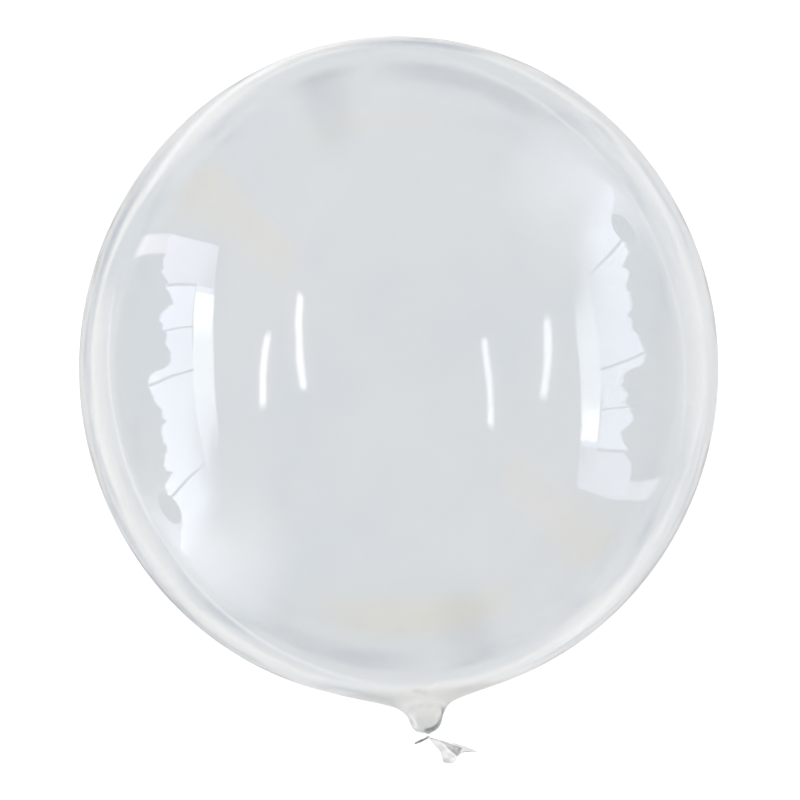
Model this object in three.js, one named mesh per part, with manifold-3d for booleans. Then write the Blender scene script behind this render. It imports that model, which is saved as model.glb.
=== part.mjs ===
// Clear bubble balloon, lying on its side.
// One bubble of stretched clear film. Its neck is drawn out off the middle, gathered and tied
// with a few turns of thin clear thread. Beyond the tie the spare neck film opens into a
// crumpled fan on one side and is rolled into a thin lobe on the other.
// Millimetres, +Z up. The origin is the middle of the small flat spot that the balloon lies on.
// The long axis runs along Y, with the neck towards -Y.

import * as THREE from 'three';
import { mergeVertices } from 'three/addons/utils/BufferGeometryUtils.js';
import Module from 'manifold-3d';

// Driving dimensions.
const GIRTH_DIAMETER = 500;       // across the bubble, square to its long axis
const BODY_LENGTH = 519.4;        // long axis of the bubble without its neck
const FLAT_RADIUS = 30;           // spot where the film is pressed flat by its own weight
const NECK_OFFSET = 21.5;         // the neck leaves the bubble beside its long axis, towards +X
const NECK_FOOT = 66;             // radius at which the bubble starts to run into the neck
const NECK_SKEW = 0.17;           // the neck's foot is this much wider towards -X, narrower to +X
const THROAT_RADIUS = 1.4;        // film bunched tight inside the tie
const THROAT_SHIFT = 1.6;         // the throat leans this much further towards +X
const PLEATS = 9;                 // gathers that run into the throat
const PLEAT_DEPTH = 0.07;         // height of a gather, as a share of the local radius
const FILM_FOLD = 1.2;            // thickness of the folded film in the fan
const LOBE_RADIUS = 1.1;          // the rolled lobe at its thickest
const THREAD = 0.8;               // diameter of the tie's thread
const THREAD_TURNS = 3;
const CLEARANCE = 0.3;            // gap between the thread and the film

// How finely the surfaces are faceted.
const AROUND = 64;
const FAR_RINGS = 16;
const NEAR_RINGS = 13;
const NECK_RINGS = 20;
const FAN_ACROSS = 12;
const FAN_ALONG = 10;

// Worked out from them.
const RADIUS = GIRTH_DIAMETER / 2;
const HALF_LENGTH = BODY_LENGTH / 2;
const CENTRE_HEIGHT = Math.sqrt(RADIUS ** 2 - FLAT_RADIUS ** 2);

// Neck profile: distance from the neck's own axis, and depth beyond the bubble's surface.
// It sweeps out of the bubble, bulges into a rounded teat and closes on the throat.
const neckProfile = new THREE.SplineCurve([
  new THREE.Vector2(NECK_FOOT, 0),
  new THREE.Vector2(48, 0.9),
  new THREE.Vector2(34, 2.4),
  new THREE.Vector2(24, 4.7),
  new THREE.Vector2(19.5, 6.9),
  new THREE.Vector2(16.2, 9.8),
  new THREE.Vector2(13.6, 14.0),
  new THREE.Vector2(11.9, 18.8),
  new THREE.Vector2(9.0, 22.4),
  new THREE.Vector2(5.6, 24.8),
  new THREE.Vector2(2.3, 26.1),
  new THREE.Vector2(THROAT_RADIUS, 26.8),
  new THREE.Vector2(THROAT_RADIUS, 30.4),
]);
const THROAT = new THREE.Vector3(NECK_OFFSET + THROAT_SHIFT, -288.6, CENTRE_HEIGHT);
const TIE_MIDDLE = -286.6;

// Fold lines of the fan, each from the throat through two places to the cut end of the film.
// Listed from the long pointed upper edge to the lower edge, measured from the throat.
const FAN_FOLDS = [
  [[11.0, -3.2, -0.4], [22.5, -5.0, -0.6], [38.1, -10.9, -0.6]],
  [[9.8, -3.7, 0.6], [19.0, -6.4, -1.0], [27.0, -10.2, -3.2]],
  [[7.6, -4.8, 1.9], [15.8, -10.6, 2.8], [24.5, -16.6, 1.6]],
  [[5.0, -5.2, 1.7], [11.4, -12.4, 3.0], [17.9, -19.2, 3.2]],
  [[3.0, -4.0, 0.4], [8.9, -11.2, -0.4], [11.3, -19.4, -1.8]],
];
const FAN_ROOT = 1.0;             // half width of the fan where it leaves the throat
const LOBE_TIP = new THREE.Vector3(-10.5, -4.8, -0.8);

const wasm = await Module();
wasm.setup();

// Joins rings of points, all of one length, into a closed skin. Seen from the first ring
// towards the last, the rings run clockwise. Each end closes on a point where one is given.
// Otherwise the ring is flat, like a pressed tube, and its two sides are joined across.
function skin(rings, startPoint, endPoint) {
  const count = rings[0].length;
  const points = rings.flat();
  const index = [];
  for (let ring = 0; ring < rings.length - 1; ring += 1) {
    for (let i = 0; i < count; i += 1) {
      const near = ring * count + i;
      const nearNext = ring * count + ((i + 1) % count);
      index.push(near, nearNext + count, near + count);
      index.push(near, nearNext, nearNext + count);
    }
  }
  const closeEnd = (base, tip, order) => {
    const triangle = (a, b, c) => index.push(...(order > 0 ? [a, b, c] : [a, c, b]));
    if (tip) {
      for (let i = 0; i < count; i += 1) {
        triangle(base + i, base + ((i + 1) % count), points.length);
      }
      points.push(tip);
      return;
    }
    for (let i = 0; i < count / 2 - 1; i += 1) {
      const opposite = base + count - 1 - i;
      triangle(base + i, base + i + 1, opposite);
      triangle(base + i + 1, opposite - 1, opposite);
    }
  };
  closeEnd(0, startPoint, -1);
  closeEnd((rings.length - 1) * count, endPoint, 1);
  const geometry = new THREE.BufferGeometry();
  const positions = points.flatMap((p) => [p.x, p.y, p.z]);
  geometry.setAttribute('position', new THREE.Float32BufferAttribute(positions, 3));
  geometry.setIndex(index);
  return geometry;
}

function toSolid(geometry) {
  const bare = geometry.clone();
  bare.deleteAttribute('normal');
  bare.deleteAttribute('uv');
  const merged = mergeVertices(bare, 1e-4);
  return new wasm.Manifold(new wasm.Mesh({
    numProp: 3,
    vertProperties: new Float32Array(merged.attributes.position.array),
    triVerts: new Uint32Array(merged.index.array),
  }));
}

function fromSolid(solid) {
  const mesh = solid.getMesh();
  const geometry = new THREE.BufferGeometry();
  geometry.setAttribute('position', new THREE.BufferAttribute(mesh.vertProperties, 3));
  geometry.setIndex(new THREE.BufferAttribute(mesh.triVerts, 1));
  geometry.computeVertexNormals();
  return geometry;
}

// Depth of the bubble's near surface below its middle, at a place seen along its long axis.
function nearSurface(x, z) {
  return -HALF_LENGTH * Math.sqrt(Math.max(0, 1 - (x ** 2 + z ** 2) / RADIUS ** 2));
}

// A ring round the long axis on the far half of the bubble, at an angle from the far pole.
function farRing(angle) {
  const ring = [];
  for (let i = 0; i < AROUND; i += 1) {
    const turn = (2 * Math.PI * i) / AROUND;
    const x = RADIUS * Math.sin(angle) * Math.cos(turn);
    const z = RADIUS * Math.sin(angle) * Math.sin(turn);
    ring.push(new THREE.Vector3(x, HALF_LENGTH * Math.cos(angle), z + CENTRE_HEIGHT));
  }
  return ring;
}

// A ring on the near half: it slides from the bubble's axis to the neck's as it gets smaller,
// lies a depth beyond the bubble's surface, and takes up the neck's skew and its gathers.
function nearRing(radius, depth) {
  const small = 1 - (radius / RADIUS) ** 2;
  const skew = NECK_SKEW * THREE.MathUtils.smoothstep(radius, 9, 26);
  const skewHere = skew * (1 - THREE.MathUtils.smoothstep(radius, 40, 150));
  const gather = PLEAT_DEPTH * (1 - THREE.MathUtils.smoothstep(radius, 3, 15));
  const lean = THROAT_SHIFT * (1 - THREE.MathUtils.smoothstep(radius, 1, 9));
  const centre = NECK_OFFSET * small + lean;
  const ring = [];
  for (let i = 0; i < AROUND; i += 1) {
    const turn = (2 * Math.PI * i) / AROUND;
    const reach = radius * (1 - skewHere * Math.cos(turn)) * (1 + gather * Math.cos(PLEATS * turn));
    const x = centre + reach * Math.cos(turn);
    const z = reach * Math.sin(turn);
    ring.push(new THREE.Vector3(x, nearSurface(x, z) - depth, z + CENTRE_HEIGHT));
  }
  return ring;
}

// The bubble with its neck, closed at the throat.
function bubbleSkin() {
  const rings = [];
  for (let i = 1; i <= FAR_RINGS; i += 1) {
    rings.push(farRing((Math.PI / 2) * (i / FAR_RINGS)));
  }
  const footAngle = Math.asin(NECK_FOOT / RADIUS);
  for (let i = 1; i < NEAR_RINGS; i += 1) {
    const angle = THREE.MathUtils.lerp(Math.PI / 2, footAngle, i / NEAR_RINGS);
    rings.push(nearRing(RADIUS * Math.sin(angle), 0));
  }
  for (const place of neckProfile.getPoints(NECK_RINGS)) {
    rings.push(nearRing(place.x, place.y));
  }
  const farPole = new THREE.Vector3(0, HALF_LENGTH, CENTRE_HEIGHT);
  const throatEnd = THROAT.clone().setY(rings[rings.length - 1][0].y);
  return skin(rings, farPole, throatEnd);
}

// The crumpled fan: spare neck film pressed flat, with folds that spread from the throat.
function fanSkin() {
  const folds = FAN_FOLDS.map((places) => new THREE.CatmullRomCurve3([
    new THREE.Vector3(),
    ...places.map((place) => new THREE.Vector3(...place)),
  ]));
  const widest = folds[0].getPoint(1).sub(folds[folds.length - 1].getPoint(1)).normalize();
  const rings = [];
  for (let step = 0; step <= FAN_ALONG; step += 1) {
    const share = step / FAN_ALONG;
    const root = FAN_ROOT * (1 - share) ** 2;
    const onFolds = folds.map((fold, i) => {
      const side = 1 - (2 * i) / (folds.length - 1);
      return fold.getPoint(share).addScaledVector(widest, root * side);
    });
    const row = new THREE.CatmullRomCurve3(onFolds, false, 'centripetal').getPoints(FAN_ACROSS);
    const half = THREE.MathUtils.lerp(FAN_ROOT, FILM_FOLD / 2, Math.min(1, 4 * share));
    const lift = new THREE.Vector3(0, 0, half);
    const upper = row.map((point) => point.clone().add(THROAT).add(lift));
    const lower = row.map((point) => point.clone().add(THROAT).sub(lift));
    rings.push([...upper, ...lower.reverse()]);
  }
  return skin(rings);
}

// The lobe: film rolled up tight, thickest near its middle, blunt at its free end.
function lobeSkin() {
  const length = LOBE_TIP.length();
  const profile = new THREE.SplineCurve([
    new THREE.Vector2(0, -0.6),
    new THREE.Vector2(0.55 * LOBE_RADIUS, -0.2),
    new THREE.Vector2(0.75 * LOBE_RADIUS, 0.25 * length),
    new THREE.Vector2(LOBE_RADIUS, 0.65 * length),
    new THREE.Vector2(0.7 * LOBE_RADIUS, 0.94 * length),
    new THREE.Vector2(0, length),
  ]).getPoints(14);
  profile[0].x = 0;
  profile[profile.length - 1].x = 0;
  const geometry = new THREE.LatheGeometry(profile, 12);
  const aim = LOBE_TIP.clone().normalize();
  geometry.applyQuaternion(new THREE.Quaternion().setFromUnitVectors(new THREE.Vector3(0, 1, 0), aim));
  return geometry.translate(THROAT.x, THROAT.y, THROAT.z);
}

// Everything below the ground plane is pressed flat.
function groundBlock() {
  const block = new THREE.BoxGeometry(4 * FLAT_RADIUS, 4 * FLAT_RADIUS, FLAT_RADIUS);
  return block.translate(0, 0, -FLAT_RADIUS / 2);
}

function makeBubble() {
  return toSolid(bubbleSkin())
    .add(toSolid(fanSkin()))
    .add(toSolid(lobeSkin()))
    .subtract(toSolid(groundBlock()));
}

// The tie: turns of thread side by side, a knot on the upper side and two short clipped ends.
function makeTie() {
  const inner = THROAT_RADIUS * (1 + PLEAT_DEPTH) + CLEARANCE;
  const middle = inner + THREAD / 2;
  const pitch = 0.85 * THREAD;
  const turns = [];
  for (let i = 0; i < THREAD_TURNS; i += 1) {
    const turn = new THREE.TorusGeometry(middle, THREAD / 2, 8, 20);
    turn.rotateX(Math.PI / 2);
    turns.push(turn.translate(0, (i - (THREAD_TURNS - 1) / 2) * pitch, 0));
  }
  const knot = new THREE.SphereGeometry(1.25 * THREAD, 12, 8);
  knot.scale(1, 1.15, 0.8);
  knot.translate(0, 0, middle + 0.5 * THREAD);
  const clippedEnd = (sideways) => {
    const end = new THREE.CylinderGeometry(THREAD / 2, THREAD / 2, 3, 8);
    end.translate(0, 1.5, 0);
    end.rotateZ(sideways);
    end.rotateX(0.35);
    return end.translate(0, 0, middle + 0.6 * THREAD);
  };
  const pieces = [...turns, knot, clippedEnd(1.9), clippedEnd(-1.4)];
  return pieces.map(toSolid).reduce((whole, piece) => whole.add(piece));
}

const film = new THREE.MeshStandardMaterial({ color: 0xdfe4e7, roughness: 0.06, metalness: 0 });
film.transparent = true;
film.opacity = 0.35;
const thread = new THREE.MeshStandardMaterial({ color: 0xf2f1ee, roughness: 0.3, metalness: 0 });

const bubble = new THREE.Mesh(fromSolid(makeBubble()), film);
bubble.name = 'bubble';

const neckTie = new THREE.Mesh(fromSolid(makeTie()), thread);
neckTie.name = 'neck_tie';
neckTie.position.set(THROAT.x, TIE_MIDDLE, CENTRE_HEIGHT);

const balloon = new THREE.Group();
balloon.add(bubble, neckTie);
export default balloon;
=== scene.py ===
import bmesh
import bpy
from math import atan2, cos, pi, radians, sin, sqrt
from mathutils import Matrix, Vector


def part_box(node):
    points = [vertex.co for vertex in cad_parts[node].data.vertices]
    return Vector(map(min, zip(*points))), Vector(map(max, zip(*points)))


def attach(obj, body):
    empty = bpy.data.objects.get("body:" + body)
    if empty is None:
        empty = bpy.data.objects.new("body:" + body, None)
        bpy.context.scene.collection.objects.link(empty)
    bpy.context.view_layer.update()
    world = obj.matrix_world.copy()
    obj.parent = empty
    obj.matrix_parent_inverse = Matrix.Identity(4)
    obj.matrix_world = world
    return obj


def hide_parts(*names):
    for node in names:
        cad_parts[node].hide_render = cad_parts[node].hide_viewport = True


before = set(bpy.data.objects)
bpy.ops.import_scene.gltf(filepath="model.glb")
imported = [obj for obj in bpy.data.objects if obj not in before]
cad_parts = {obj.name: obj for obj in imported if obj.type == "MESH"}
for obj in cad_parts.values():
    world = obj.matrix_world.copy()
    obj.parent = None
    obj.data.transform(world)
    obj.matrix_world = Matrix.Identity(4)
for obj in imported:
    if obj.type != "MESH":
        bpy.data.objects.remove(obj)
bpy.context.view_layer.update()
bpy.ops.object.select_all(action="DESELECT")

# ---------------------------------------------------------------------------------------------
# Camera. The balloon lies on its side and is seen square to its long axis, so the camera looks
# straight down on it, from far enough off to keep the outline true.
bubble_low, bubble_high = (Vector(corner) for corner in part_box("bubble"))
girth_radius = (bubble_high.x - bubble_low.x) / 2
centre_height = bubble_high.z - girth_radius
half_length = bubble_high.y
view_width = 1.251 * 2 * girth_radius
view_shift = -0.0495 * 2 * girth_radius
lens = 600
sensor = 36
camera_data = bpy.data.cameras.new("camera")
camera_data.lens = lens
camera_data.sensor_width = sensor
camera = bpy.data.objects.new("camera", camera_data)
bpy.context.collection.objects.link(camera)
camera.location = (0.001, view_shift, centre_height + view_width * lens / sensor)
bpy.context.scene.camera = camera
bpy.context.scene.view_settings.view_transform = "Standard"

# ---------------------------------------------------------------------------------------------
# Studio. A white seamless floor under one large overhead softbox. Clear film shows little but
# what it mirrors, so a whole room is painted into the sky for mirrored rays alone: a tall window
# behind dark furniture, two strip lights, a warm curtain and a pale floor. It lights nothing.


def links_of(tree, *pairs):
    for source, target in pairs:
        tree.links.new(source, target)


def maths(tree, kind, *values):
    """A Math node's result. Each value is a number or another node's output."""
    node = tree.nodes.new("ShaderNodeMath")
    node.operation = kind
    for socket, value in zip(node.inputs, values):
        if isinstance(value, (int, float)):
            socket.default_value = value
        else:
            tree.links.new(value, socket)
    return node.outputs[0]


def mirrored_only(tree):
    """1 on a ray that has met a reflecting surface, 0 on one that comes straight."""
    path = tree.nodes.new("ShaderNodeLightPath")
    return maths(tree, "GREATER_THAN", path.outputs["Glossy Depth"], 0.5)


def squared_distance(tree, *values_and_middles):
    """The square of how far two values lie from their middles."""
    first, second = (
        maths(tree, "POWER", maths(tree, "SUBTRACT", value, middle), 2)
        for value, middle in values_and_middles
    )
    return maths(tree, "ADD", first, second)


def fade(tree, value, off, on):
    """A smooth mask: 0 where the value is at off, 1 where it is at on."""
    node = tree.nodes.new("ShaderNodeMapRange")
    node.interpolation_type = "SMOOTHSTEP"
    tree.links.new(value, node.inputs["Value"])
    node.inputs["From Min"].default_value = off
    node.inputs["From Max"].default_value = on
    return node.outputs["Result"]


def within(tree, value, low, high, blur):
    """A mask of the values between two others."""
    above = fade(tree, value, low - blur, low + blur)
    below = fade(tree, value, high + blur, high - blur)
    return maths(tree, "MULTIPLY", above, below)


def paint(tree, under, colour, *masks):
    """Lays a colour over another where all the masks are 1."""
    mask = masks[0]
    for other in masks[1:]:
        mask = maths(tree, "MULTIPLY", mask, other)
    node = tree.nodes.new("ShaderNodeMixRGB")
    node.inputs["Color2"].default_value = (*colour, 1)
    links_of(tree, (mask, node.inputs["Fac"]), (under, node.inputs["Color1"]))
    return node.outputs["Color"]


def mottle(tree, place, scale, detail):
    """A cloudy pattern."""
    node = tree.nodes.new("ShaderNodeTexNoise")
    node.inputs["Scale"].default_value = scale
    node.inputs["Detail"].default_value = detail
    tree.links.new(place, node.inputs["Vector"])
    return node.outputs["Fac"]


def shaded(tree, value, *stops):
    """A colour for each value, from stops that each give a value and its colour."""
    node = tree.nodes.new("ShaderNodeValToRGB")
    ramp = node.color_ramp.elements
    for element, (level, colour) in zip(ramp, (stops[0], stops[-1])):
        element.position = level
        element.color = (*colour, 1)
    for level, colour in stops[1:-1]:
        ramp.new(level).color = (*colour, 1)
    tree.links.new(value, node.inputs["Fac"])
    return node.outputs["Color"]


world = bpy.data.worlds.new("studio")
bpy.context.scene.world = world
world.use_nodes = True
world.cycles.sampling_method = "NONE"
sky = world.node_tree
sky.nodes.clear()
way = sky.nodes.new("ShaderNodeTexCoord").outputs["Generated"]
ways = sky.nodes.new("ShaderNodeSeparateXYZ")
sky.links.new(way, ways.inputs[0])
x, y, z = ways.outputs

# The room from its floor straight below to its ceiling, a little uneven all over.
room = shaded(
    sky,
    maths(sky, "MULTIPLY_ADD", z, 0.5, 0.5),
    (0, (0.82, 0.82, 0.82)),
    (0.04, (0.90, 0.90, 0.89)),
    (0.085, (1.13, 1.11, 1.07)),
    (0.14, (0.98, 0.97, 0.95)),
    (0.22, (0.88, 0.88, 0.87)),
    (0.32, (0.70, 0.72, 0.74)),
    (0.5, (0.64, 0.66, 0.68)),
    (1, (0.60, 0.62, 0.64)),
)
uneven = fade(sky, mottle(sky, way, 3.2, 3), 0.48, 0.75)
room = paint(sky, room, (0.46, 0.50, 0.58), uneven)

# The bright edge of a round table just below.
below = maths(sky, "MAXIMUM", maths(sky, "MULTIPLY", z, -1), 0.05)
table_across = maths(sky, "DIVIDE", x, below)
table_along = maths(sky, "DIVIDE", y, below)
from_table = maths(sky, "SQRT", squared_distance(sky, (table_across, -0.58), (table_along, -0.25)))
table_edge = within(sky, from_table, 0.68, 0.76, 0.05)
room = paint(sky, room, (1.3, 1.29, 1.27), table_edge, fade(sky, z, -0.3, -0.5), fade(sky, x, 0.1, -0.2))


def wall(towards, sideways, least):
    """A wall: a mask of the ways that face it, and their tangents across it and up it."""
    facing = maths(sky, "GREATER_THAN", towards, least)
    return facing, maths(sky, "DIVIDE", sideways, towards), maths(sky, "DIVIDE", z, towards)


def hang(under, colour, wall_used, wide, high):
    """Paints a thing on a wall. wide and high each give its two ends and how much they blur."""
    facing, run, rise = wall_used
    return paint(sky, under, colour, facing, within(sky, run, *wide), within(sky, rise, *high))


# The wall beyond the bubble's round end has a pale floor with low dark things before it. The one
# beyond the neck has a warm light at the floor's edge.
end_wall = wall(y, x, 0.05)
neck_wall = wall(maths(sky, "MULTIPLY", y, -1), x, 0.05)
pale_floor = (0.60, 0.64, 0.67)
dark_things = (0.04, 0.09, 0.16)
warm_light = (0.70, 0.60, 0.32)
room = hang(room, pale_floor, end_wall, (-0.6, 0.75, 0.2), (-1.7, -0.5, 0.25))
room = hang(room, dark_things, end_wall, (-0.02, 0.56, 0.14), (-0.86, -0.50, 0.12))
room = hang(room, dark_things, end_wall, (-0.38, -0.20, 0.08), (-0.95, 0.08, 0.16))
room = hang(room, warm_light, neck_wall, (-0.28, 0.62, 0.25), (-0.24, 0.02, 0.10))

# The window wall. Its upright edges all lean a little, and its level ones bow up in the middle.
window_wall = wall(maths(sky, "MULTIPLY", x, -1), y, 0.02)
side, across, up = window_wall
leaning = maths(sky, "MULTIPLY_ADD", up, -0.15, across)
bow = maths(sky, "POWER", maths(sky, "ADD", across, 0.1), 2)
arched = maths(sky, "MULTIPLY_ADD", bow, 0.43, up)

# Left of the window hangs a brown curtain, with pale boards low down beside it. Dark furniture
# stands below the window, light falls on the wall right of it, and its left edge is bright.
curtain = (0.90, 0.60, 0.08)
boards = (0.66, 0.70, 0.74)
furniture = (0.48, 0.52, 0.55)
glow = (1.6, 1.6, 1.65)
bright_glow = (2.05, 2.03, 2.1)
bright_edge = (2.0, 1.9, 2.0)
room = hang(room, curtain, window_wall, (0.68, 1.06, 0.18), (-0.65, 1.05, 0.25))
room = hang(room, boards, window_wall, (0.22, 0.75, 0.12), (-1.4, -0.65, 0.1))
room = hang(room, furniture, window_wall, (-0.95, 0.5, 0.1), (-0.66, 0.0, 0.08))
room = hang(room, glow, window_wall, (-1.55, -0.70, 0.45), (-0.9, 0.35, 0.45))
room = hang(room, bright_glow, window_wall, (-1.05, -0.60, 0.2), (-0.78, -0.12, 0.24))
room = hang(room, bright_edge, (side, leaning, up), (0.50, 0.60, 0.012), (-0.75, 0.1, 0.08))

# The window has an arched head and a transom with clear lights over it. Things stand before it.
skyline = sky.nodes.new("ShaderNodeTexNoise")
skyline.noise_dimensions = "1D"
skyline.inputs["Scale"].default_value = 5.5
skyline.inputs["Detail"].default_value = 4
sky.links.new(across, skyline.inputs["W"])
things = maths(sky, "MULTIPLY_ADD", maths(sky, "MULTIPLY", across, across), 0.9, up)
over_things = maths(sky, "MULTIPLY_ADD", skyline.outputs["Fac"], -0.75, things)
window = maths(
    sky,
    "MULTIPLY",
    maths(sky, "MULTIPLY", fade(sky, leaning, 0.605, 0.59), fade(sky, leaning, -0.80, -0.58)),
    maths(sky, "MULTIPLY", fade(sky, arched, 0.385, 0.35), fade(sky, over_things, -0.49, -0.45)),
)
soft_corner = maths(sky, "MULTIPLY", fade(sky, arched, 0.0, 0.37), fade(sky, leaning, -0.08, -0.5))
window = maths(sky, "MULTIPLY", window, maths(sky, "SUBTRACT", 1, soft_corner))
room = paint(sky, room, (3.0, 3.1, 3.5), side, window)
clear_lights = maths(
    sky, "MULTIPLY", within(sky, arched, 0.20, 0.6, 0.01), fade(sky, leaning, 0.335, 0.315)
)
room = paint(sky, room, (3.7, 3.8, 4.0), side, window, clear_lights, fade(sky, leaning, -0.6, -0.4))
room = paint(sky, room, (6.4, 6.5, 6.4), side, window, clear_lights, fade(sky, leaning, 0.08, 0.24))
above = fade(sky, leaning, 0.355, 0.365)
room = paint(sky, room, (2.3, 2.3, 2.55), side, window, above)
room = paint(sky, room, (1.0, 1.02, 1.1), side, window, above, fade(sky, up, 0.05, 0.38))
for middle, half_width in ((0.36, 0.007), (0.165, 0.004), (-0.03, 0.006), (-0.475, 0.007)):
    bar = within(sky, leaning, middle - half_width, middle + half_width, 0.004)
    room = paint(sky, room, (0.6, 0.66, 0.72), side, window, bar, fade(sky, arched, 0.22, 0.19))
transom = within(sky, arched, 0.192, 0.204, 0.006)
room = paint(sky, room, (1.3, 1.4, 1.5), side, window, transom, within(sky, across, 0.1, 0.36, 0.05))
vase = maths(
    sky,
    "ADD",
    maths(sky, "POWER", maths(sky, "ADD", across, 0.57), 2),
    maths(sky, "MULTIPLY", maths(sky, "POWER", maths(sky, "ADD", up, 0.44), 2), 0.5),
)
room = paint(sky, room, (0.45, 0.5, 0.56), side, fade(sky, vase, 0.0085, 0.0065))

# Two strip lights over the window, each with a faint glow round it. A real bubble isn't quite a
# spheroid, so each strip has one place for its near wall and another, shifted, for its far wall.
# A ray that the far wall has mirrored comes out through both faces of the near one. Other things
# in a ray's way count as one at most. What the far wall mirrors is drawn a little brighter.
far_wall_gain = 0.15
mirror_path = sky.nodes.new("ShaderNodeLightPath")
by_far_wall = maths(sky, "GREATER_THAN", mirror_path.outputs["Transparent Depth"], 1.5)
for middle, height_up, far_shift, far_lift, half_span, half_width, slope in (
    (-0.011, 0.858, -0.051, -0.190, 0.25, 0.038, 0.14),
    (0.244, 1.371, -0.108, 0.148, 0.45, 0.068, -0.21),
):
    along = maths(sky, "SUBTRACT", across, maths(sky, "MULTIPLY_ADD", by_far_wall, far_shift, middle))
    lifted = maths(sky, "MULTIPLY_ADD", by_far_wall, far_lift, height_up)
    beside = maths(sky, "SUBTRACT", maths(sky, "MULTIPLY_ADD", along, -slope, up), lifted)
    for shine, reach in (((1.0, 1.0, 1.02), 2.6), ((5.5, 5.5, 5.5), 1)):
        room = paint(
            sky,
            room,
            shine,
            side,
            within(sky, along, -half_span, half_span, 0.05),
            within(sky, beside, -half_width * reach, half_width * reach, 0.6 * half_width * reach),
        )

plain_sky = sky.nodes.new("ShaderNodeBackground")
plain_sky.inputs["Color"].default_value = (1, 1, 1, 1)
plain_sky.inputs["Strength"].default_value = 0.9
room_sky = sky.nodes.new("ShaderNodeBackground")
sky_mix = sky.nodes.new("ShaderNodeMixShader")
sky_out = sky.nodes.new("ShaderNodeOutputWorld")
links_of(
    sky,
    (room, room_sky.inputs["Color"]),
    (maths(sky, "MULTIPLY_ADD", by_far_wall, far_wall_gain, 1), room_sky.inputs["Strength"]),
    (mirrored_only(sky), sky_mix.inputs[0]),
    (plain_sky.outputs[0], sky_mix.inputs[1]),
    (room_sky.outputs[0], sky_mix.inputs[2]),
    (sky_mix.outputs[0], sky_out.inputs["Surface"]),
)

# The floor lies a hair below the spot that the balloon rests on, so the two don't share a face.
floor_gap = 0.0001
bpy.ops.mesh.primitive_plane_add(size=60, location=(0, 0, -floor_gap))
floor = bpy.context.object
floor.name = "floor"
floor.select_set(False)
paper = bpy.data.materials.new("floor_paper")
paper.use_nodes = True
tree = paper.node_tree
tree.nodes.clear()
matte = tree.nodes.new("ShaderNodeBsdfDiffuse")
matte.inputs["Color"].default_value = (0.86, 0.86, 0.86, 1)
open_floor = tree.nodes.new("ShaderNodeBsdfTransparent")
floor_mix = tree.nodes.new("ShaderNodeMixShader")
floor_out = tree.nodes.new("ShaderNodeOutputMaterial")
links_of(
    tree,
    (mirrored_only(tree), floor_mix.inputs[0]),
    (matte.outputs[0], floor_mix.inputs[1]),
    (open_floor.outputs[0], floor_mix.inputs[2]),
    (floor_mix.outputs[0], floor_out.inputs["Surface"]),
)
floor.data.materials.append(paper)

softbox_data = bpy.data.lights.new("overhead_softbox", "AREA")
softbox_data.shape = "DISK"
softbox_data.size = 3.2
softbox_data.energy = 62
softbox = bpy.data.objects.new("overhead_softbox", softbox_data)
bpy.context.collection.objects.link(softbox)
softbox.location = (-0.6, 0.5, 3.0)
softbox.rotation_euler = (Vector((0, 0, 0)) - softbox.location).to_track_quat("-Z", "Y").to_euler()
softbox.visible_camera = False
softbox.visible_glossy = False
softbox.visible_transmission = False

# ---------------------------------------------------------------------------------------------
# Bubble. One skin of clear stretch film, blown tight. The neck was drawn out beside the long axis
# while the film was soft, and past the tie the spare neck film is pressed flat into a crumpled
# fan, open at its cut end. The film is drawn a little thicker than it is, with both its faces.
film_thickness = 0.00025
around = 200
neck_offset = 0.0215
neck_foot_angle = radians(15)
neck_skew = 0.17
throat_shift = 0.0016
pleats = 9
pleat_depth = 0.07
throat = Vector((neck_offset + throat_shift, -0.2886, centre_height))
neck_profile = [  # distance from the neck's own axis, depth beyond the bubble
    (0.0647, 0),
    (0.048, 0.0009),
    (0.034, 0.0024),
    (0.024, 0.0047),
    (0.0195, 0.0069),
    (0.0162, 0.0098),
    (0.0136, 0.0140),
    (0.0119, 0.0193),
    (0.0096, 0.0231),
    (0.0064, 0.0253),
    (0.0026, 0.0263),
    (0.0014, 0.0268),
    (0.0014, 0.0294),
]


def smooth(low, high, value):
    share = min(max((value - low) / (high - low), 0), 1)
    return share * share * (3 - 2 * share)


def through(points, steps):
    """A smooth line through points, with this many steps between each two."""
    points = [Vector(point) for point in points]
    ends = [2 * points[0] - points[1]] + points + [2 * points[-1] - points[-2]]
    line = [points[0]]
    for before, start, end, after in zip(ends, ends[1:], ends[2:], ends[3:]):
        for step in range(1, steps + 1):
            t = step / steps
            slope = (end - before) * t
            bend = (2 * before - 5 * start + 4 * end - after) * t**2
            twist = (3 * start - before - 3 * end + after) * t**3
            line.append(start + 0.5 * (slope + bend + twist))
    return line


def end_surface(x, z):
    """How far along Y the bubble's neck end lies at a place seen along its long axis."""
    return -half_length * sqrt(max(0, 1 - (x * x + z * z) / girth_radius**2))


def neck_centre(radius):
    lean = throat_shift * (1 - smooth(0.001, 0.009, radius))
    return neck_offset * (1 - (radius / girth_radius) ** 2) + lean


def neck_place(radius, depth, turn):
    """A point of the neck: its rings slide towards the neck's own axis as they get smaller."""
    skew = neck_skew * smooth(0.009, 0.026, radius) * (1 - smooth(0.040, 0.150, radius))
    gather = pleat_depth * (1 - smooth(0.003, 0.015, radius))
    reach = radius * (1 - skew * cos(turn)) * (1 + gather * cos(pleats * turn))
    x = neck_centre(radius) + reach * cos(turn)
    z = reach * sin(turn)
    return Vector((x, end_surface(x, z) - depth, z + centre_height))


def draw_rim_on(shell, place):
    """Extrudes the selected rim and puts each new point where its turn round the rim says."""
    bpy.ops.mesh.extrude_region_move(TRANSFORM_OT_translate={"value": (0, 0, 0)})
    mesh = bmesh.from_edit_mesh(shell.data)
    turns = mesh.verts.layers.float["turn"]
    for vertex in mesh.verts:
        if vertex.select:
            vertex.co = place(vertex[turns])
    bmesh.update_edit_mesh(shell.data)


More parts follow.
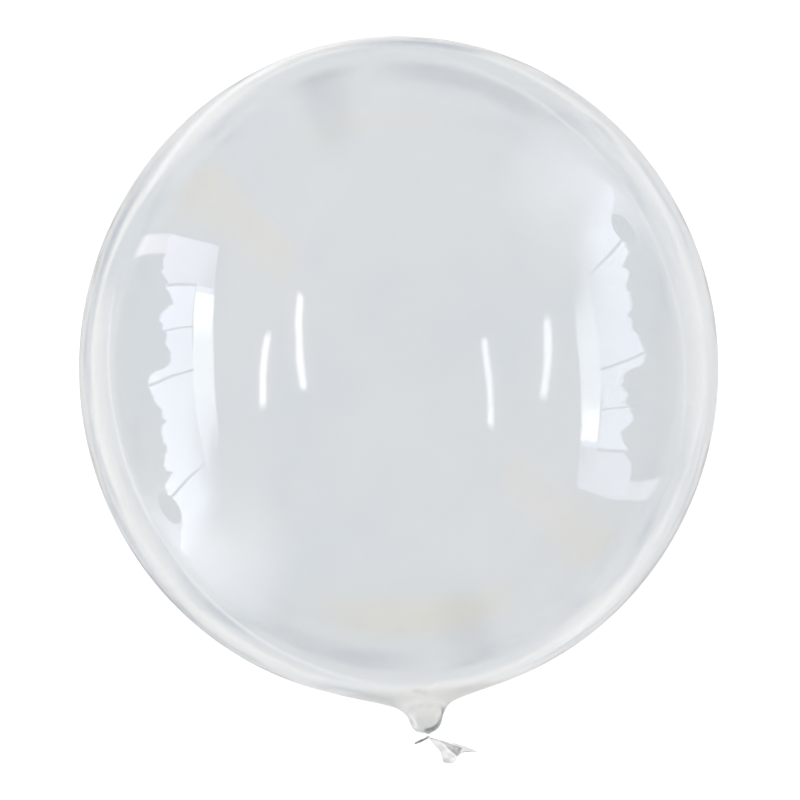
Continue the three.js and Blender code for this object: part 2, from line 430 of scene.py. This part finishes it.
bpy.ops.mesh.primitive_uv_sphere_add(
    segments=around,
    ring_count=96,
    radius=1,
    location=(0, 0, centre_height),
    rotation=(pi / 2, 0, 0),
)
bubble = bpy.context.object
bubble.name = "bubble_film"
bubble.scale = (girth_radius, girth_radius, half_length)
bpy.ops.object.transform_apply(location=True, rotation=True, scale=True)

# The neck half's rings slide over towards the neck. The cap where the neck leaves is cut out, and
# its rim is drawn on into the neck, ring by ring.
bpy.ops.object.mode_set(mode="EDIT")
bpy.ops.mesh.select_mode(type="VERT")
bpy.ops.mesh.select_all(action="DESELECT")
bpy.ops.object.mode_set(mode="OBJECT")
foot_radius = girth_radius * sin(neck_foot_angle)
turn_of = bubble.data.attributes.new("turn", "FLOAT", "POINT")
for vertex in bubble.data.vertices:
    x, z = vertex.co.x, vertex.co.z - centre_height
    radius = sqrt(x * x + z * z)
    turn = atan2(z, x)
    turn_of.data[vertex.index].value = turn
    if vertex.co.y < 0:
        vertex.select = radius < foot_radius - 0.001
        vertex.co = neck_place(radius, 0, turn)
bpy.ops.object.mode_set(mode="EDIT")
bpy.ops.mesh.delete(type="VERT")
bpy.ops.mesh.select_non_manifold(extend=False)
for radius, depth in [(p.x, p.y) for p in through(neck_profile, 2)][1:]:
    draw_rim_on(bubble, lambda turn: neck_place(radius, depth, turn))

bpy.ops.mesh.select_all(action="SELECT")
bpy.ops.mesh.normals_make_consistent(inside=False)
bpy.ops.object.mode_set(mode="OBJECT")

# The film is pressed flat where it lies on the ground, and eases back into its curve.
pressed = 2 * girth_radius - bubble_high.z
for vertex in bubble.data.vertices:
    if vertex.co.z < pressed:
        vertex.co.z = (vertex.co.z + pressed) ** 2 / (4 * pressed)

# Past the tie the neck film is pressed flat in sheets. Each is a grid whose corners are placed by
# their share of the way across and of the way out from the throat.
throat_radius = neck_profile[-1][0]


def pressed_sheet(columns, rows, thickness, place):
    bpy.ops.mesh.primitive_grid_add(x_subdivisions=columns, y_subdivisions=rows, size=2)
    sheet = bpy.context.object
    for vertex in sheet.data.vertices:
        vertex.co = throat + place((vertex.co.x + 1) / 2, (vertex.co.y + 1) / 2)
    bpy.ops.object.modifier_add(type="SOLIDIFY")
    sheet.modifiers[-1].thickness = thickness
    sheet.modifiers[-1].offset = 0
    bpy.ops.object.modifier_apply(modifier=sheet.modifiers[-1].name)
    sheet.select_set(False)
    return sheet


# The fan. Fold lines run from the throat through two places to the cut end of the film: the long
# pointed edge, its corner, two lines where the film doubles back under itself, and the flap.
fan_folds = [
    [(0.0112, -0.0028, 0.0004), (0.0262, -0.0061, 0.0014), (0.0385, -0.0111, 0.0016)],
    [(0.0110, -0.0031, 0.0010), (0.0196, -0.0068, 0.0021), (0.0268, -0.0117, 0.0022)],
    [(0.0104, -0.0035, 0.0016), (0.0162, -0.0090, 0.0028), (0.0230, -0.0147, 0.0030)],
    [(0.0100, -0.0035, 0.0000), (0.0190, -0.0060, 0.0006), (0.0262, -0.0084, 0.0004)],
    [(0.0066, -0.0056, -0.0006), (0.0134, -0.0126, -0.0014), (0.0194, -0.0194, -0.0010)],
    [(0.0040, -0.0046, -0.0012), (0.0096, -0.0118, -0.0024), (0.0118, -0.0194, -0.0028)],
]
fan_steps = 10
fan_lines = [through([(0, 0, 0)] + fold, fan_steps) for fold in fan_folds]
fan_rows = [through(row, fan_steps * 2) for row in zip(*fan_lines)]


def fan_place(across, out):
    row = fan_rows[round(out * (len(fan_rows) - 1))]
    spot = row[round(across * (len(row) - 1))]
    crumple = 0.0005 * out * sin(31 * across + 6 * out) * cos(11 * out - 9 * across)
    turn = 2 * pi * across
    bundle = Vector((cos(turn), 0, sin(turn))) * throat_radius * 0.8
    spread = smooth(0, 0.2, out)
    return spot + Vector((0, 0, crumple * spread)) + bundle * (1 - spread)


fan = pressed_sheet(len(fan_rows[0]) - 1, len(fan_rows) - 1, 0.0003, fan_place)

# The lobe. Some of the film is rolled up tight, three times round, on the tie's other side.
lobe_tip = Vector((-0.0105, -0.0048, -0.0008))
lobe_turn = lobe_tip.to_track_quat("Z", "Y")
lobe_profile = through([(0.0, 0.0006), (0.3, 0.0009), (0.6, 0.0011), (0.85, 0.00095), (1.0, 0.0007)], 4)
lobe_rolls = 3


def lobe_place(across, out):
    station = lobe_profile[round(out * (len(lobe_profile) - 1))]
    reach = station.y * (0.3 + 0.7 * across)
    turn = 2 * pi * lobe_rolls * across
    return lobe_tip * station.x + lobe_turn @ Vector((reach * cos(turn), reach * sin(turn), 0))


lobe = pressed_sheet(28 * lobe_rolls, len(lobe_profile) - 1, 0.00008, lobe_place)

bpy.ops.object.select_all(action="DESELECT")
bubble.select_set(True)
bpy.context.view_layer.objects.active = bubble
bpy.ops.object.modifier_add(type="SOLIDIFY")
bubble.modifiers[-1].thickness = film_thickness
bubble.modifiers[-1].offset = -1
bpy.ops.object.modifier_apply(modifier=bubble.modifiers[-1].name)
fan.select_set(True)
lobe.select_set(True)
bpy.ops.object.join()
bpy.ops.object.shade_smooth()


def rescaled(tree, value, low, high, new_low, new_high):
    """Carries a value from one range over to another."""
    node = tree.nodes.new("ShaderNodeMapRange")
    tree.links.new(value, node.inputs["Value"])
    for name, end in zip(("From Min", "From Max", "To Min", "To Max"), (low, high, new_low, new_high)):
        node.inputs[name].default_value = end
    return node.outputs["Result"]


film = bpy.data.materials.new("stretch_film")
film.use_nodes = True
tree = film.node_tree
skin = tree.nodes["Principled BSDF"]
skin.inputs["Transmission Weight"].default_value = 1
skin.inputs["IOR"].default_value = 1.47
place = tree.nodes.new("ShaderNodeTexCoord").outputs["Object"]

# The film has slow clouds in its tint, faint smears in its gloss and a long shallow ripple. Past
# the tie it is finely crinkled, with shade painted along the crinkles.
tint = shaded(tree, mottle(tree, place, 7, 2), (0.3, (0.765, 0.786, 0.806)), (0.7, (0.795, 0.806, 0.816)))
gloss = rescaled(tree, mottle(tree, place, 16, 4), 0.45, 0.75, 0.0, 0.03)
bump = tree.nodes.new("ShaderNodeBump")
bump.inputs["Strength"].default_value = 1
bump.inputs["Distance"].default_value = 0.0004
crinkles = mottle(tree, place, 170, 1)
crinkled = tree.nodes.new("ShaderNodeBump")
crinkled.inputs["Distance"].default_value = 0.0012

# Round the drawn neck the film has gone a little milky, which blurs what it mirrors.
spots = tree.nodes.new("ShaderNodeSeparateXYZ")
tree.links.new(place, spots.inputs[0])
sideways, along, upright = spots.outputs
off_axis = squared_distance(tree, (sideways, neck_offset), (upright, centre_height))
milky = maths(tree, "MULTIPLY", fade(tree, off_axis, 0.08**2, 0.055**2), fade(tree, along, -0.23, -0.25))
dullness = maths(tree, "MULTIPLY_ADD", milky, 0.12, gloss)
# A warm reflection is painted into the film's tint in a patch towards the neck end.
warm_reflection_band = within(tree, along, -0.208, -0.176, 0.022)
painted_warm_reflection = maths(tree, "MULTIPLY", warm_reflection_band, within(tree, sideways, -0.06, 0.07, 0.05))

# Towards the tie the film is gathered, so more of it lies in the way, and it is darker along one
# edge of the teat.
teat_middle = (0.0205, -0.2685)
gathered = within(tree, along, -0.2885, -0.272, 0.007)
off_teat = squared_distance(tree, (sideways, teat_middle[0]), (along, teat_middle[1]))
on_edge = fade(tree, maths(tree, "SQRT", off_teat), 0.0124, 0.0138)
dark_teat_edge = maths(tree, "MULTIPLY", on_edge, fade(tree, sideways, 0.019, 0.022))
# Laid on the tint: the painted warm reflection, then the milky film and the gathered film.
shades = paint(tree, tint, (0.786, 0.788, 0.776), painted_warm_reflection)
shades = paint(tree, shades, (0.83, 0.83, 0.822), milky)
shades = paint(tree, shades, (0.76, 0.768, 0.765), gathered)

# Past the tie more or fewer layers of film lie over each other. The side towards the point is
# lighter. Shade is painted on the point itself, in stripes along the crinkles, along the flap's
# edge and in the flap's corner.
past_tie = fade(tree, along, -0.287, -0.292)
slant_rise = 0.6
slanting = maths(tree, "MULTIPLY_ADD", along, slant_rise, sideways)
slant = maths(tree, "SUBTRACT", slanting, slant_rise * throat.y + throat.x)
light_side = fade(tree, slant, 0.006, 0.009)
point = fade(tree, sideways, 0.044, 0.049)
crease_shade_stripes = fade(tree, crinkles, 0.42, 0.70)
flap_edge_shade = fade(tree, slant, 0.0044, 0.0022)
flap_corner_shade = fade(tree, sideways, 0.042, 0.038)
shades = paint(tree, shades, (0.78, 0.78, 0.78), past_tie)
shades = paint(tree, shades, (0.85, 0.85, 0.85), past_tie, light_side)
shades = paint(tree, shades, (0.70, 0.70, 0.70), past_tie, point)
shades = paint(tree, shades, (0.66, 0.66, 0.665), past_tie, crease_shade_stripes)
shades = paint(tree, shades, (0.66, 0.66, 0.665), fade(tree, along, -0.293, -0.296), flap_edge_shade)
shades = paint(tree, shades, (0.58, 0.58, 0.585), fade(tree, along, -0.3035, -0.3065), flap_corner_shade)
# The teat is darker along its edge on the fan's side.
shades = paint(tree, shades, (0.44, 0.46, 0.46), dark_teat_edge, within(tree, along, -0.2885, -0.266, 0.004))

# A ray that the film has mirrored goes straight through any more film, if it isn't inside it.
path = tree.nodes.new("ShaderNodeLightPath")
in_air = maths(tree, "PINGPONG", maths(tree, "ADD", path.outputs["Transmission Depth"], 1), 1)
mirrored_in_air = maths(tree, "MULTIPLY", mirrored_only(tree), in_air)
lamp_or_floor = maths(tree, "MAXIMUM", path.outputs["Is Shadow Ray"], path.outputs["Is Diffuse Ray"])
lets_through = maths(tree, "MAXIMUM", lamp_or_floor, mirrored_in_air)
shade = tree.nodes.new("ShaderNodeBsdfTransparent")
shade.inputs["Color"].default_value = (0.99, 0.99, 0.99, 1)
mix = tree.nodes.new("ShaderNodeMixShader")
links_of(
    tree,
    (shades, skin.inputs["Base Color"]),
    (dullness, skin.inputs["Roughness"]),
    (mottle(tree, place, 11, 2), bump.inputs["Height"]),
    (crinkles, crinkled.inputs["Height"]),
    (past_tie, crinkled.inputs["Strength"]),
    (bump.outputs["Normal"], crinkled.inputs["Normal"]),
    (crinkled.outputs["Normal"], skin.inputs["Normal"]),
    (lets_through, mix.inputs[0]),
    (skin.outputs[0], mix.inputs[1]),
    (shade.outputs[0], mix.inputs[2]),
    (mix.outputs[0], tree.nodes["Material Output"].inputs["Surface"]),
)
bubble.data.materials.append(film)
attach(bubble, "root")
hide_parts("bubble")

# ---------------------------------------------------------------------------------------------
# Neck tie. A few turns of thin clear thread, wound side by side and pulled tight, with a small
# knot on the upper side and two short clipped ends.
thread = 0.0008
turn_spacing = 0.85 * thread
film_gap = 0.0003
knot_radius = 1.25 * thread
end_length = 0.003
end_rise = 0.35
tie_middle = Vector((throat.x, -0.2866, centre_height))
turn_radius = throat_radius * (1 + pleat_depth) + film_gap + thread / 2
turns = []
for row in (-1, 0, 1):
    bpy.ops.mesh.primitive_torus_add(
        major_segments=64,
        minor_segments=16,
        major_radius=turn_radius,
        minor_radius=thread / 2,
        location=tie_middle + Vector((0, row * turn_spacing, 0)),
        rotation=(pi / 2, 0, 0),
    )
    turns.append(bpy.context.object)
bpy.ops.mesh.primitive_uv_sphere_add(
    segments=24,
    ring_count=16,
    radius=knot_radius,
    location=tie_middle + Vector((0, 0, turn_radius + 0.5 * thread)),
    scale=(1, 1.15, 0.8),
)
turns.append(bpy.context.object)
for heading in (1.9, -1.4):
    start = tie_middle + Vector((0, 0, turn_radius + 0.6 * thread))
    way = Vector((-sin(heading), cos(heading) * cos(end_rise), cos(heading) * sin(end_rise)))
    bpy.ops.mesh.primitive_cylinder_add(
        vertices=16,
        radius=thread / 2,
        depth=end_length,
        location=start + way * end_length / 2,
        rotation=way.to_track_quat("Z", "Y").to_euler(),
    )
    turns.append(bpy.context.object)
bpy.ops.object.select_all(action="DESELECT")
for piece in turns:
    piece.select_set(True)
bpy.context.view_layer.objects.active = turns[0]
bpy.ops.object.join()
tie = bpy.context.object
tie.name = "tie_thread"
bpy.ops.object.transform_apply(location=True, rotation=True, scale=True)
bpy.ops.object.shade_smooth_by_angle(angle=radians(40))

nylon = bpy.data.materials.new("nylon_thread")
nylon.use_nodes = True
tree = nylon.node_tree
fibre = tree.nodes["Principled BSDF"]
fibre.inputs["IOR"].default_value = 1.53
strands = mottle(tree, tree.nodes.new("ShaderNodeTexCoord").outputs["Object"], 2500, 2)
whites = shaded(tree, strands, (0, (0.80, 0.80, 0.79)), (1, (0.94, 0.94, 0.93)))
links_of(
    tree,
    (whites, fibre.inputs["Base Color"]),
    (rescaled(tree, strands, 0, 1, 0.2, 0.45), fibre.inputs["Roughness"]),
)
tie.data.materials.append(nylon)
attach(tie, "root")
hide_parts("neck_tie")
